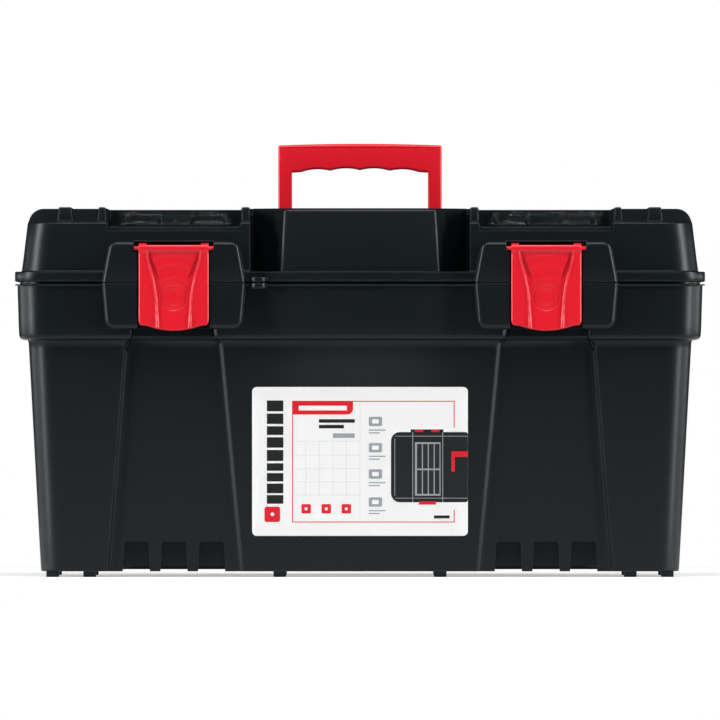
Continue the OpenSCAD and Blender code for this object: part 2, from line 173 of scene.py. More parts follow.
def skin(rings):
    """A bmesh through rings of (x, y, z) points, capped at its first ring, and its rows."""
    bm = bmesh.new()
    rows = [[bm.verts.new(p) for p in ring] for ring in rings]
    count = len(rows[0])
    for lower, upper in zip(rows, rows[1:]):
        for i in range(count):
            j = (i + 1) % count
            bm.faces.new((lower[i], lower[j], upper[j], upper[i]))
    bm.faces.new(rows[0])
    return bm, rows


def loft(name, rings, sharp=30):
    """A closed solid through rings of points, capped at both ends."""
    bm, rows = skin(rings)
    bm.faces.new(rows[-1])
    return finish_mesh(name, bm, sharp)


def slab(outline, start, end, axis):
    """A bmesh of an outline pushed along an axis."""
    place = {"x": lambda u, v, w: (w, u, v), "y": lambda u, v, w: (u, w, v),
             "z": lambda u, v, w: (u, v, w)}[axis]
    bm = bmesh.new()
    ends = [bm.faces.new([bm.verts.new(place(u, v, w)) for u, v in outline]) for w in (start, end)]
    near, far = [list(face.verts) for face in ends]
    for i in range(len(outline)):
        j = (i + 1) % len(outline)
        bm.faces.new((near[i], near[j], far[j], far[i]))
    bmesh.ops.recalc_face_normals(bm, faces=bm.faces)
    return bm


def prism(name, outline, start, end, axis="z", radius=0, steps=3, where=None):
    """An outline pushed along an axis, with the edges that where picks rounded."""
    bm = slab(outline, start, end, axis)
    if radius:
        soften(bm, radius, steps, where)
    return finish_mesh(name, bm)


CRISP = 0.45


def soften(bm, radius, steps=3, where=None):
    """Rounds the crisp edges of a bmesh, or those whose middle passes where."""
    edges = [e for e in bm.edges if e.is_manifold and e.calc_face_angle() > CRISP
             and (where is None or where((e.verts[0].co + e.verts[1].co) / 2))]
    bmesh.ops.bevel(bm, geom=edges, offset=radius, segments=steps, profile=0.5,
                    affect="EDGES", clamp_overlap=True)


def block(name, x, y, z, radius=0, steps=3, where=None):
    """A box between pairs of limits."""
    outline = [(x[0], y[0]), (x[1], y[0]), (x[1], y[1]), (x[0], y[1])]
    return prism(name, outline, z[0], z[1], "z", radius, steps, where=where)


def combine(piece, tools, operation="DIFFERENCE", sharp=30):
    """Cuts tools from a piece, or joins them to it, and keeps the result."""
    for tool in tools:
        change = piece.modifiers.new("combine", "BOOLEAN")
        change.operation = operation
        change.solver = "MANIFOLD"
        change.object = tool
        shape = piece.evaluated_get(bpy.context.evaluated_depsgraph_get())
        mesh = bpy.data.meshes.new_from_object(shape)
        piece.modifiers.clear()
        piece.data = mesh
        bpy.data.objects.remove(tool)
    shade(piece.data, sharp)
    return piece


PANEL_ON_COLLAR = (124, 198)
PANEL_FOOT = (101, 219)
PANEL_HEAD = (119.6, 203)


def panel_edges(z):
    """The inner and outer edge of a scooped front panel at a height."""
    if z > COLLAR_Z - 0.5:
        return PANEL_ON_COLLAR
    rise = z / COLLAR_Z
    return [foot + (head - foot) * rise for foot, head in zip(PANEL_FOOT, PANEL_HEAD)]


# Steps across a scooped panel's two lips: the distance inwards, and how deep the scoop is there.

SCOOP = 3.2
INNER_LIP = ((-2.4, 0), (-0.9, 0.2), (0.3, 1.0), (1.4, 2.3), (3.2, 3.1), (7, 3.2))
OUTER_LIP = ((22, 3.2), (14, 3.7), (8, 4.4), (3.8, 4.8), (2, 4.2), (0.8, 2.2), (-0.2, 0.6),
             (-1.4, 0.1), (-2.8, 0))


def front_line(z, depth, half):
    """Places along the front edge at a height, and how far each is pushed back."""
    inner, outer = panel_edges(z)
    right = [(12 * i, 0) for i in range(1, 8)]
    right += [(inner + step, dent * depth) for step, dent in INNER_LIP]
    right += [((inner + outer) / 2 - 8, SCOOP * depth)]
    right += [(outer - step, dent * depth) for step, dent in OUTER_LIP]
    right += [(outer + (half - RIM_R - outer) * 0.6, 0)]
    line = [(-x, dent) for x, dent in reversed(right)] + [(0, 0)] + right
    return [x for x, dent in line], [dent for x, dent in line]


def base_ring(inset, z, bow=0.0, depth=1.0):
    """One level of the base; depth is how much of the panels' scoop shows there."""
    xs, dents = front_line(z, depth, HALF_W - inset)
    return [(x, y, z) for x, y in footprint(inset, bow, xs, dents)]


WALL_HEAD_INSET = 11.7
WALL_FOOT = 9
WALL_BOW = 6
BOW_START = 150
COLLAR_R = 4.4


def wall_inset(z):
    """How far the leaning wall stands inside the rim at a height."""
    return WALL_HEAD_INSET + LEAN * (COLLAR_Z - 1 - z) / (COLLAR_Z - WALL_FOOT)


def wall_bow(z):
    """How far the wall bows forward at a height."""
    return WALL_BOW * ease(z, BOW_START, COLLAR_Z)


# Rings run from the underside up the outside, over the rim and down the inside to the floor.

rings = [base_ring(inset, z) for inset, z in ((28, FLOOR), (27, 6), (26.4, 5), (23.6, 4.9), (22.4, 5.6))]
for z in (8, 31, 60, 90, 120, 150, 162, 174, 184, 192, 198, 202.6):
    rings.append(base_ring(wall_inset(z), z, wall_bow(z)))
rings += [base_ring(11.0, COLLAR_Z - 0.3, 6.2), base_ring(8.2, COLLAR_Z + 0.1, 7.6)]
for turn in (15, 35, 55, 75, 90):
    a = math.radians(turn)
    rings.append(base_ring(COLLAR_INSET + COLLAR_R * (1 - math.sin(a)),
                           COLLAR_Z + 4.6 - COLLAR_R * math.cos(a), 8.5 + 2.4 * math.sin(a)))
rings += [base_ring(3.2, COLLAR_Z + 13, BOW), base_ring(3.1, COLLAR_Z + 17, BOW, 0.0),
          base_ring(2.2, SPLIT - 3.1, BOW, 0.0), base_ring(1.8, SPLIT - 2.6, BOW, 0.0)]
rings += [base_ring(i, SPLIT + z, BOW, 0.0) for i, z in
          ((0.5, -2.45), (0.05, -2.1), (0.05, -1.7), (0.5, -1.35), (4.2, -1.2), (4.5, -0.9),
           (4.5, 0.7), (4.9, 1.2), (5.8, 1.2), (6.2, 0.7))]
rings += [base_ring(6.4, LEDGE_Z + 0.8, BOW, 0.0), base_ring(7.2, LEDGE_Z, BOW * 0.9, 0.0),
          base_ring(13.4, LEDGE_Z, 6, 1.0), base_ring(14.3, LEDGE_Z - 0.9, 6, 1.0)]
for z in (192, 174, 150, 90, 31):
    rings.append(base_ring(wall_inset(z) + WALL, z, wall_bow(z)))
rings += [base_ring(24.6, 14.5), base_ring(25.4, 12.9), base_ring(27, FLOOR + WALL)]
base = loft("base_shell_moulding", rings)

ARCHES = (-32.6, 0, 32.6)
for x in PANEL_X:
    step = block("arch_backing", (x - 52, x + 52), (-101.5, -95), (FLOOR, 36), 1.5)
    combine(base, [step], "UNION")


ARCH_R = 3.4
ARCH_SHOULDER = 27.6
ARCH_FLAT = 7.4
ARCH_FOOT = 12


def arch(x):
    """A cutter for one arch through the foot of a front panel."""
    head = [(x + side * (ARCH_FLAT + ARCH_R * math.cos(a)), ARCH_SHOULDER + ARCH_R * math.sin(a))
            for side, turns in ((1, (0, 22, 45, 67, 90)), (-1, (90, 67, 45, 22, 0)))
            for a in map(math.radians, turns)]
    outline = [(x + ARCH_FOOT, -2)] + head + [(x - ARCH_FOOT, -2)]
    return prism("arch_cutter", outline, -125, -98.5, "y")


combine(base, [arch(x + step) for x in PANEL_X for step in ARCHES])
FOOT_X = (265.9, 233.9, 69.4)
FOOT_Y = ((-101, -86), (88, 103))
FOOT_HALF = 5.5
FOOT_TOP = 11
feet = []
for side in (-1, 1):
    for x in FOOT_X:
        for y in FOOT_Y:
            across = sorted((side * (x - FOOT_HALF), side * (x + FOOT_HALF)))
            feet.append(block("foot", across, y, (0, FOOT_TOP), 0.8, 2))
combine(base, feet, "UNION")

# Latch cheeks, padlock lug and hinge knuckles are part of the same moulding.

LATCH_HALF = 30.25
SLOT_HALF = LATCH_HALF + 1
CHEEK_R = 8
CHEEK_STEPS = 6


def cheek(side, x, bottom, top, outer_bottom, outer_top, corner):
    """One of the two blocks beside a latch; corner is 1 for round at the top, -1 at the foot."""
    r = CHEEK_R
    rim = [(SLOT_HALF, bottom), (SLOT_HALF, top)]
    if corner > 0:
        turns = [math.radians(90 - 90 * i / CHEEK_STEPS) for i in range(CHEEK_STEPS + 1)]
        rim += [(outer_top - r + r * math.cos(a), top - r + r * math.sin(a)) for a in turns]
        rim += [(outer_bottom, bottom)]
    else:
        turns = [math.radians(-90 * i / CHEEK_STEPS) for i in range(CHEEK_STEPS + 1)]
        rim += [(outer_top, top)]
        rim += [(outer_bottom - r + r * math.cos(a), bottom + r + r * math.sin(a)) for a in turns]
    bm = slab([(x + side * u, v) for u, v in rim], FACE_Y, RIM_FRONT + 8, "y")
    seam = top if corner < 0 else bottom

    def outer_edge(middle):
        at_front = abs(middle.y - FACE_Y) < 0.01
        return at_front and abs(middle.x - x) > SLOT_HALF + 0.1 and abs(middle.z - seam) > 0.1

    def slot_or_seam_edge(middle):
        reach = abs(middle.x - x)
        return (middle.y < FACE_Y + 0.6 and reach < 56
                and (abs(reach - SLOT_HALF) < 0.2 or abs(middle.z - seam) < 0.2))
    soften(bm, 4.4, 6, outer_edge)
    soften(bm, 0.5, 2, slot_or_seam_edge)
    return finish_mesh("cheek", bm)


LOWER_CHEEK = (SPLIT - 40.2, SPLIT - 0.4)
CATCH = ((-131, -21), (-134, -21.4), (-135.6, -23), (-135.6, -26.8), (-131, -27))
for x in PANEL_X:
    sides = [cheek(s, x, *LOWER_CHEEK, 59.5, 62.2, -1) for s in (-1, 1)]
    combine(base, sides, "UNION")
    back = block("slot_back", (x - 33, x + 33), (FACE_Y + 10.5, RIM_FRONT + 8), LOWER_CHEEK)
    combine(base, [back], "UNION")
    catch = prism("catch", [(y, z + SPLIT) for y, z in CATCH], x - 12, x + 12, "x", 0.3, 2)
    combine(base, [catch], "UNION")
    hollows = []
    for s in (-1, 1):
        middle = x + s * 45.2
        hollows.append(block("hollow", (middle - 11.2, middle + 11.2), (FACE_Y + 2.6, FACE_Y + 11),
                             (SPLIT - 36, SPLIT + 1), 1))
    combine(base, hollows)

EYE_X = -87.75
EYE_Y = FACE_Y + 6.5
EYE_R = 4
LUG_R = 7.6
LUG_BACK = RIM_FRONT + 8


def lug(name, z0, z1):
    """One padlock lug, round at the front."""
    turns = [math.radians(180 + 180 * i / 12) for i in range(13)]
    outline = [(EYE_X + LUG_R * math.cos(a), EYE_Y + 1.2 + LUG_R * math.sin(a)) for a in turns]
    outline += [(EYE_X + LUG_R, LUG_BACK), (EYE_X - LUG_R, LUG_BACK)]
    return prism(name, outline, z0, z1, "z", 0.5, 2)


def circle(u, v, radius, steps=32):
    """Points round a circle."""
    turns = [2 * math.pi * i / steps for i in range(steps)]
    return [(u + radius * math.cos(a), v + radius * math.sin(a)) for a in turns]


def rod(name, x0, x1, y, z, radius, chamfer=0.0, steps=32):
    """A round bar along X."""
    return prism(name, circle(y, z, radius, steps), x0, x1, "x", chamfer, 2)


def upright(name, x, y, z0, z1, radius):
    """A round bar along Z."""
    return prism(name, circle(x, y, radius), z0, z1)


combine(base, [lug("base_lug", SPLIT - 5, SPLIT - 0.4)], "UNION")
combine(base, [upright("eye", EYE_X, EYE_Y, SPLIT - 9, SPLIT + 9, EYE_R)])

KNUCKLE_R = 7.2
HINGE_PIN_R = 4
BASE_KNUCKLES = ((-56, -49.3), (49.3, 56))
LID_KNUCKLES = ((-48.7, -41.5), (-6, 6), (41.5, 48.7))


def knuckle(x0, x1, arm_low, arm_high):
    """A hinge knuckle and the arm that carries it, as one outline along X."""
    barrel = rod("knuckle", x0, x1, HINGE_Y, HINGE_Z, KNUCKLE_R, 0.5)
    root = RIM_BACK - 5
    outline = [(root, arm_low), (HINGE_Y, arm_low), (HINGE_Y, arm_high), (root, arm_high)]
    arm = prism("arm", outline, x0, x1, "x", 0.4, 2)
    return combine(barrel, [arm], "UNION")


def reliefs(x, knuckles):
    """Cutters that leave room for the other moulding's knuckles."""
    return [rod("relief", x + a - 0.3, x + b + 0.3, HINGE_Y, HINGE_Z, KNUCKLE_R + 1)
            for a, b in knuckles]


for x in PANEL_X:
    combine(base, reliefs(x, LID_KNUCKLES))
    combine(base, [knuckle(x + a, x + b, HINGE_Z - KNUCKLE_R - 6, HINGE_Z - 0.2)
                   for a, b in BASE_KNUCKLES], "UNION")
    combine(base, [rod("pin_hole", x - 56.5, x + 56.5, HINGE_Y, HINGE_Z, HINGE_PIN_R)])


def linear(colour):
    """An sRGB hex colour as linear red, green, blue and alpha."""
    parts = [int(colour[i:i + 2], 16) / 255 for i in (1, 3, 5)]
    return [p / 12.92 if p <= 0.04045 else ((p + 0.055) / 1.055) ** 2.4 for p in parts] + [1]


def add(tree, kind, settings=(), links=()):
    """Adds a node with its settings, and links sockets of other nodes into it."""
    node = tree.nodes.new(kind)
    for key, value in dict(settings).items():
        if isinstance(key, str) and hasattr(node, key):
            setattr(node, key, value)
        else:
            node.inputs[key].default_value = value
    for socket, source in dict(links).items():
        tree.links.new(source, node.inputs[socket])
    return node


def new_material(name):
    """A material with an empty node tree, and that tree."""
    material = bpy.data.materials.new(name)
    material.use_nodes = True
    material.node_tree.nodes.clear()
    return material, material.node_tree


def moulded_polypropylene(name, colour, roughness, grain, spread, gloss):
    """Polypropylene from a textured steel mould: a fine spark-eroded grain, satin shine,
    softly rounded edges and a faint unevenness in the shine where the plastic flowed."""
    material, tree = new_material(name)
    place = add(tree, "ShaderNodeTexCoord").outputs["Object"]
    pits = add(tree, "ShaderNodeTexNoise", {"Scale": 1 / (grain * MM), "Detail": 2.0},
               {"Vector": place})
    flow = add(tree, "ShaderNodeTexNoise", {"Scale": 9.0, "Detail": 3.0}, {"Vector": place})
    shine = add(tree, "ShaderNodeMapRange", {"To Min": roughness - spread, "To Max": roughness + spread},
                {"Value": flow.outputs["Fac"]})
    edge = add(tree, "ShaderNodeBevel", {"samples": 4, "Radius": 0.9 * MM})
    bump = add(tree, "ShaderNodeBump", {"Strength": 0.12, "Distance": 0.05 * MM},
               {"Height": pits.outputs["Fac"], "Normal": edge.outputs["Normal"]})
    plastic = add(tree, "ShaderNodeBsdfPrincipled", {"Base Color": linear(colour), "IOR": 1.49,
                                                     "Specular IOR Level": gloss},
                  {"Roughness": shine.outputs["Result"], "Normal": bump.outputs["Normal"]})
    add(tree, "ShaderNodeOutputMaterial", {}, {"Surface": plastic.outputs["BSDF"]})
    return material


black_polypropylene = moulded_polypropylene("black_moulded_polypropylene", "#0a0f12", roughness=0.34,
                                            grain=0.5, spread=0.03, gloss=0.18)


def fit(piece, body, material, slot, *nodes):
    """Gives a piece its material and sets it on its body, in place of CAD nodes."""
    piece.data.materials.clear()
    piece.data.materials.append(material)
    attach(piece, body)
    if nodes:
        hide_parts(*nodes)
    return piece


fit(base, "base", black_polypropylene, "body_black", *BASE)


# ---- Lid shell ----
# A second black polypropylene moulding. It carries the handle, the latches
# and two organisers, and closes on the base's rim with a stepped flange.

LID = ["lid_block", "lid_block_top", "lid_recess", "lid_bay_left", "lid_bay_right",
       "lid_end_left", "lid_end_right"]
LID_TOP = extent(*LID)[1][2]
ABOVE_LID = LID_TOP + 5
FLANGE_H = 9
LID_FOOT_INSET = 5.9
LID_LEAN = 6.7
ROOF = LID_TOP - 1
EAVE = LID_TOP - 13
FOLD_Y = -45
FRONT_EDGE_Y = -118.6
EDGE_Z = EAVE - 1.6
BAY_W = 115.7
COVER_Y, COVER_Z = pivot("cover_right_hinge")[1:]
HANDLE_Y, HANDLE_Z = pivot("handle_fold")[1:]
GRIP_TOP = extent("handle")[1][2]
REACH = GRIP_TOP - HANDLE_Z
LATCH_Y, LATCH_Z = pivot("latch_right_swing")[1:]
LID_XS = [12 * i for i in range(-8, 9)]


def lid_rise(z):
    """How far up the lid's wall a height is, from 0 to 1."""
    return (z - SPLIT - FLANGE_H) / (LID_TOP - SPLIT - FLANGE_H)


def lid_inset(z):
    """How far the lid's leaning wall stands inside the rim at a height."""
    return LID_FOOT_INSET + LID_LEAN * lid_rise(z)


def roof(y, drop):
    """The height of the lid's top, which falls towards the front."""
    slope = (ROOF - EAVE) / (FOLD_Y - FRONT_EDGE_Y)
    return min(ROOF, max(EAVE + slope * (y - FRONT_EDGE_Y), EDGE_Z + 0.4)) - drop


def lid_ring(inset, z, front=None, turn=None, drop=0.0):
    """A ring round the lid; with turn, one over the edge where the wall meets the top."""
    outline = footprint(inset, BOW, LID_XS, front=front)
    half = HALF_W - inset
    steps = CORNER_STEPS + 1
    outline.insert(2 * steps, (-half, FOLD_Y))
    outline.append((half, FOLD_Y))
    if turn is None:
        return [(x, y, z) for x, y in outline]
    return [(x, y, z + (roof(y, drop) - z) * math.sin(turn)) for x, y in outline]


def lid_solid(name, rings):
    """Closes the lid's rings with a top folded along one line."""
    bm, rows = skin(rings)
    left = 2 * (CORNER_STEPS + 1)
    top = rows[-1]
    bm.faces.new(top[left:])
    bm.faces.new([top[-1]] + top[:left + 1])
    return finish_mesh(name, bm)


def over_edge(start, width, front_width, drop=0.0, steps=7):
    """Rings that carry the wall round into the top."""
    rings = []
    for i in range(steps + 1):
        turn = math.radians(90 * i / steps)
        rise = 1 - math.cos(turn)
        rings.append(lid_ring(start + width * rise, EDGE_Z - drop, start + front_width * rise, turn, drop))
    return rings


rings = [lid_ring(i, SPLIT + z) for i, z in
         ((1.0, 0.8), (0.3, 1.0), (0.05, 1.6), (0.05, 8.4), (0.35, 9.2), (1.2, 9.5), (5.3, 9.6), (5.9, 10.2))]
rings += [lid_ring(lid_inset(z), z) for z in (275, 290)]
rings += over_edge(lid_inset(EDGE_Z), 13, 1.8)
lid = lid_solid("lid_shell_moulding", rings)

# Clear the front between the inner ribs, then add the centre block and ribs.

BLOCK_HALF_TOP = 66.5
BLOCK_HALF_FOOT = 69.5
NOTCH_BACK = -74.5
combine(lid, [block("clearing", (-95, 95), (-160, NOTCH_BACK), (SPLIT + 9.6, ABOVE_LID))])


def block_ring(z):
    """The centre block seen from above: a bowed front and splayed shoulders."""
    t = lid_rise(z)
    wide = BLOCK_HALF_FOOT + (BLOCK_HALF_TOP - BLOCK_HALF_FOOT) * t
    y = RIM_FRONT + lid_inset(z)
    front = [(wide * i / 10, y - BOW * bulge(wide * i / 10)) for i in range(-10, 11)]
    side = [(wide + 0.6, -115 + 2 * t), (92, NOTCH_BACK), (92, -60), (60, -60)]
    left = [(-x, y) for x, y in reversed(side)]
    return [(x, y, z) for x, y in front + side + left]


def blocky(name, rings, radius, steps, where):
    """A capped loft whose crisp edges are rounded."""
    bm, rows = skin(rings)
    bm.faces.new(rows[-1])
    bmesh.ops.recalc_face_normals(bm, faces=bm.faces)
    soften(bm, radius, steps, where)
    return finish_mesh(name, bm)


centre = blocky("centre_block", [block_ring(SPLIT + 8), block_ring(ROOF)], 3.2, 4,
                lambda middle: middle.z > SPLIT + 20 and middle.y < NOTCH_BACK - 0.1)
combine(lid, [centre], "UNION")


RIBS = ((249.6, 260.4, 2.0), (220.4, 225.8, 1.8), (95.6, 102.2, 0.7))


def rib(x0, x1, spread):
    """A moulded rib that runs from front to back, narrower at its top."""
    foot = EAVE - 6
    levels = []
    for left, right, front, back, z in ((x0 - spread, x1 + spread, -112.5, 113, foot),
                                        (x0, x1, -110.5, 107, LID_TOP)):
        levels.append([(left, front, z), (right, front, z), (right, back, z), (left, back, z)])
    return blocky("rib", levels, 1, 3, lambda middle: middle.z > foot + 0.1)


for side in (-1, 1):
    for x0, x1, spread in RIBS:
        combine(lid, [rib(*sorted((side * x0, side * x1)), spread)], "UNION")

# Upper cheeks, hinge knuckles and the padlock lug are moulded with the lid.

UPPER_CHEEK = (SPLIT + 0.4, SPLIT + 36)
LATCH_PIN_R = 2
for x in PANEL_X:
    combine(lid, [cheek(s, x, *UPPER_CHEEK, 62.2, 57, 1) for s in (-1, 1)], "UNION")
    combine(lid, [block("slot_back", (x - 36, x + 36), (FACE_Y + 10.5, RIM_FRONT + 12),
                        UPPER_CHEEK, 0.4)], "UNION")
    combine(lid, [block("slot_top", (x - 35, x + 35), (FACE_Y + 1.4, RIM_FRONT + 8),
                        (SPLIT + 35.2, SPLIT + 36.2), 0.4)], "UNION")
    combine(lid, [block("pin_recess", (x - 34.5, x + 34.5), (-150, FACE_Y + 8),
                        (SPLIT + 26.3, SPLIT + 35.2)),
                  rod("pin_hole", x - 38.5, x + 38.5, LATCH_Y, LATCH_Z, LATCH_PIN_R)])
combine(lid, [lug("lid_lug", SPLIT + 0.4, SPLIT + 4.5)], "UNION")
combine(lid, [upright("eye", EYE_X, EYE_Y, SPLIT - 1, SPLIT + 8, EYE_R)])

# The lid is hollow underneath, with walls left round the bays and the recess.

INNER_FRONT = -114.5
BAY_BACK = COVER_Y + 8
LEG_W = 12
HANDLE_HALF = 71

rings = [lid_ring(i, z) for i, z in
         ((4, SPLIT - 3), (4, SPLIT + 6.4), (5, SPLIT + 7), (8, SPLIT + 7), (8.6, SPLIT + 7.6))]
rings += [lid_ring(lid_inset(290) + WALL, 290)]
rings += over_edge(lid_inset(EDGE_Z) + WALL, 12, 1.8, WALL, 4)
room = lid_solid("room", rings)
for side in (-1, 1):
    x = side * LATCH_X
    combine(room, [block("keep_bay", (x - BAY_W / 2 - 2.6, x + BAY_W / 2 + 2.6), (-150, BAY_BACK + 3),
                         (SPLIT + 9.3, ABOVE_LID), 1.2, 2)])
    combine(room, [block("keep_notch", sorted((side * 64.5, side * 100)), (-150, -71),
                         (SPLIT + 7.2, ABOVE_LID), 1.2, 2)])
combine(room, [block("keep_recess", (-83, 83), (HANDLE_Y - 12, HANDLE_Y + REACH + 6),
                     (HANDLE_Z - 14, ABOVE_LID), 1.2, 2)])
combine(room, [block("keep_block", (-96, 96), (-150, -70), (ROOF - WALL - 0.1, ABOVE_LID))])
combine(lid, [room])

cutters = [block("recess", (-HANDLE_HALF - 1.6, HANDLE_HALF + 1.6),
                 (HANDLE_Y + 16.5, HANDLE_Y + REACH + 2.4), (HANDLE_Z - 11, ABOVE_LID), 1.5)]
for side in (-1, 1):
    mid = side * (HANDLE_HALF - LEG_W / 2)
    cutters.append(block("leg_slot", (mid - LEG_W / 2 - 0.8, mid + LEG_W / 2 + 0.8),
                         (HANDLE_Y - 8.6, HANDLE_Y + 17.5), (HANDLE_Z - 9, ABOVE_LID), 0.8))
    cutters.append(block("pivot_pocket", (side * 74 - 5, side * 74 + 5),
                         (HANDLE_Y - 5, HANDLE_Y + 17), (LID_TOP - 6, ABOVE_LID), 0.8))
    x = side * LATCH_X
    cutters.append(block("bay", (x - BAY_W / 2, x + BAY_W / 2), (INNER_FRONT, BAY_BACK),
                         (SPLIT + 11.8, ABOVE_LID), 1.5))
    cutters.append(block("bay_front", (x - BAY_W / 2, x + BAY_W / 2), (-160, INNER_FRONT + 2),
                         (LID_TOP - 20.4, ABOVE_LID), 1.5))
    for s in (-1, 1):
        middle = x + s * 46
        cutters.append(block("hollow", (middle - 8.5, middle + 8.5), (FACE_Y + 2.6, FACE_Y + 13),
                             (SPLIT - 1, SPLIT + 32), 1))
    cutters += reliefs(x, BASE_KNUCKLES)
cutters.append(rod("handle_bore", -HANDLE_HALF - 7, HANDLE_HALF + 7, HANDLE_Y, HANDLE_Z, 4.05))
combine(lid, cutters)
EARS = (-42.5, -14.5, 14.5, 42.5)
EAR_R = 4.3
for x in PANEL_X:
    combine(lid, [knuckle(x + a, x + b, SPLIT + 0.2, HINGE_Z + KNUCKLE_R)
                  for a, b in LID_KNUCKLES], "UNION")
    combine(lid, [rod("pin_bore", x - 57, x + 57, HINGE_Y, HINGE_Z, 4.06)])
    for e in EARS:
        ear = rod("ear", x + e - 2, x + e + 2, COVER_Y, COVER_Z, EAR_R, 0.4)
        root = block("ear_root", (x + e - 2, x + e + 2), (COVER_Y, BAY_BACK + 1),
                     (COVER_Z - EAR_R, COVER_Z + EAR_R), 0.3, 2)
        combine(lid, [combine(ear, [root], "UNION")], "UNION")
    combine(lid, [rod("stub_bores", x - 45, x + 45, COVER_Y, COVER_Z, 2.56)])
fit(lid, "lid", black_polypropylene, "body_black", *LID)


# ---- Hinge pins and latch pins ----
# Round red polypropylene pins pushed in from the side.

red_polypropylene = moulded_polypropylene("red_moulded_polypropylene", "#b41421", roughness=0.3,
                                          grain=0.5, spread=0.03, gloss=0.3)
for x, side in zip(PANEL_X, ("left", "right")):
    pin = rod("hinge_pin_" + side + "_turned", x - 57, x + 57, HINGE_Y, HINGE_Z, HINGE_PIN_R, 0.6, 48)
    fit(pin, "base", red_polypropylene, "trim_red", "hinge_pin_" + side)
    pin = rod("latch_pin_" + side + "_turned", x - 38.4, x + 38.4, LATCH_Y, LATCH_Z, LATCH_PIN_R, 0.3)
    fit(pin, "lid", red_polypropylene, "trim_red", "latch_pin_" + side)


# ---- Handle ----
# One red moulding that folds back into the lid: a flat grip with four shallow
# finger scallops underneath, two legs, and stubs that snap into the lid.

GRIP_SAG = 1.4
FINGER = 25.9
FINGERS_END = 51.5


def scallops(x):
    """The height of the grip's underside, below the top of the grip."""
    x = abs(x)
    if x > FINGERS_END:
        return -24.7 - 0.3 * ease(x, FINGERS_END, HANDLE_HALF - LEG_W)
    if x > FINGER:
        t = (x - FINGER) / (FINGERS_END - FINGER)
        return -23.4 - 1.3 * t + 1.9 * (1 - (2 * t - 1) ** 2)
    t = x / FINGER
    return -22.9 - 0.5 * t + 1.85 * (1 - (2 * t - 1) ** 2)


def inset_outline(outline, distance):
    """An outline moved inwards along its own corners."""
    count = len(outline)
    moved = []
    for i, (x, y) in enumerate(outline):
        before, after = outline[i - 1], outline[(i + 1) % count]
        normals = []
        for (ax, ay), (bx, by) in ((before, (x, y)), ((x, y), after)):
            length = math.hypot(bx - ax, by - ay)
            normals.append(((ay - by) / length, (bx - ax) / length))
        (nx, ny), (mx, my) = normals
        scale = distance / max(1 + nx * mx + ny * my, 0.5)
        moved.append((x + (nx + mx) * scale, y + (ny + my) * scale))
    return moved


def pillow(name, outline, y0, y1, radius, steps=5):
    """An outline in X and Z, given anticlockwise, made thick along Y with rounded rims."""
    turns = [math.radians(90 * i / steps) for i in range(steps + 1)]
    rings = [[(x, y0 + radius * (1 - math.cos(t)), z) for x, z in
              inset_outline(outline, radius * (1 - math.sin(t)))] for t in turns]
    rings += [[(x, y1 - radius * (1 - math.cos(t)), z) for x, z in
               inset_outline(outline, radius * (1 - math.sin(t)))] for t in reversed(turns)]
    return loft(name, rings, 40)


leg_inner = HANDLE_HALF - LEG_W
top = [(70 - 140 * i / 28, GRIP_TOP - GRIP_SAG * (1 - 2 * i / 28) ** 2) for i in range(29)]
under_xs = [-leg_inner + 2 * leg_inner * i / 88 for i in range(89)]
underside = [(x, GRIP_TOP + scallops(x)) for x in under_xs]
outline = [(HANDLE_HALF, GRIP_TOP - 3), (70.7, GRIP_TOP - 1.9)] + top
outline += [(-70.7, GRIP_TOP - 1.9), (-HANDLE_HALF, GRIP_TOP - 3)]
outline += [(-HANDLE_HALF, HANDLE_Z), (-leg_inner, HANDLE_Z)] + underside
outline += [(leg_inner, HANDLE_Z), (HANDLE_HALF, HANDLE_Z)]
handle = pillow("handle_moulding", outline, HANDLE_Y - 8, HANDLE_Y + 8, 2.2)
for side in (-1, 1):
    mid = side * (HANDLE_HALF - LEG_W / 2)
    eye = rod("leg_end", mid - LEG_W / 2, mid + LEG_W / 2, HANDLE_Y, HANDLE_Z, 8, 1.2, 48)
    out = side * HANDLE_HALF
    stub = rod("stub", *sorted((out - side * 3, out + side * 6)), HANDLE_Y, HANDLE_Z, 4, 0.5)
    combine(handle, [eye], "UNION", 40)
    combine(handle, [stub], "UNION", 40)
fit(handle, "handle", red_polypropylene, "trim_red", "handle")


# ---- Latches ----
# Red polypropylene latches that hang from the lid and snap down over the base. Their
# faces have a waisted channel between two raised lines, with ripples under the thumb.

LATCH_FOOT = extent("latch_right")[0][2]
LATCH_FRONT = extent("latch_right")[0][1]
LATCH_TOP = LATCH_Z + 4.4


def latch_bottom(u):
    """The latch's lower edge: a curved tongue between two square shoulders."""
    u = abs(u)
    tongue = LATCH_FOOT + 3.9 * (u / 22) ** 2 if u < 22 else LATCH_FOOT + 3.9 + 0.75 * (u - 22) / 4
    corner = max(0, u - (LATCH_HALF - 3.5))
    return min(tongue, LATCH_FOOT + 4.6) + 3.5 - math.sqrt(max(3.5 ** 2 - corner ** 2, 0))


def channel(z):
    """Half the width of the channel at a height."""
    return 13.9 + 1.6 * ease(z, LATCH_FOOT, 246) + 8.4 * ease(z, 238, 288)


def line(distance, width):
    """A soft raised line's height, from 0 to 1, at a distance from its middle."""
    return max(0, 1 - (distance / width) ** 2) ** 2


MARK_Z = 242
RIPPLES = (17, 28, 37)
EDGE_R = 1.6
EDGE_DROP = 1.2


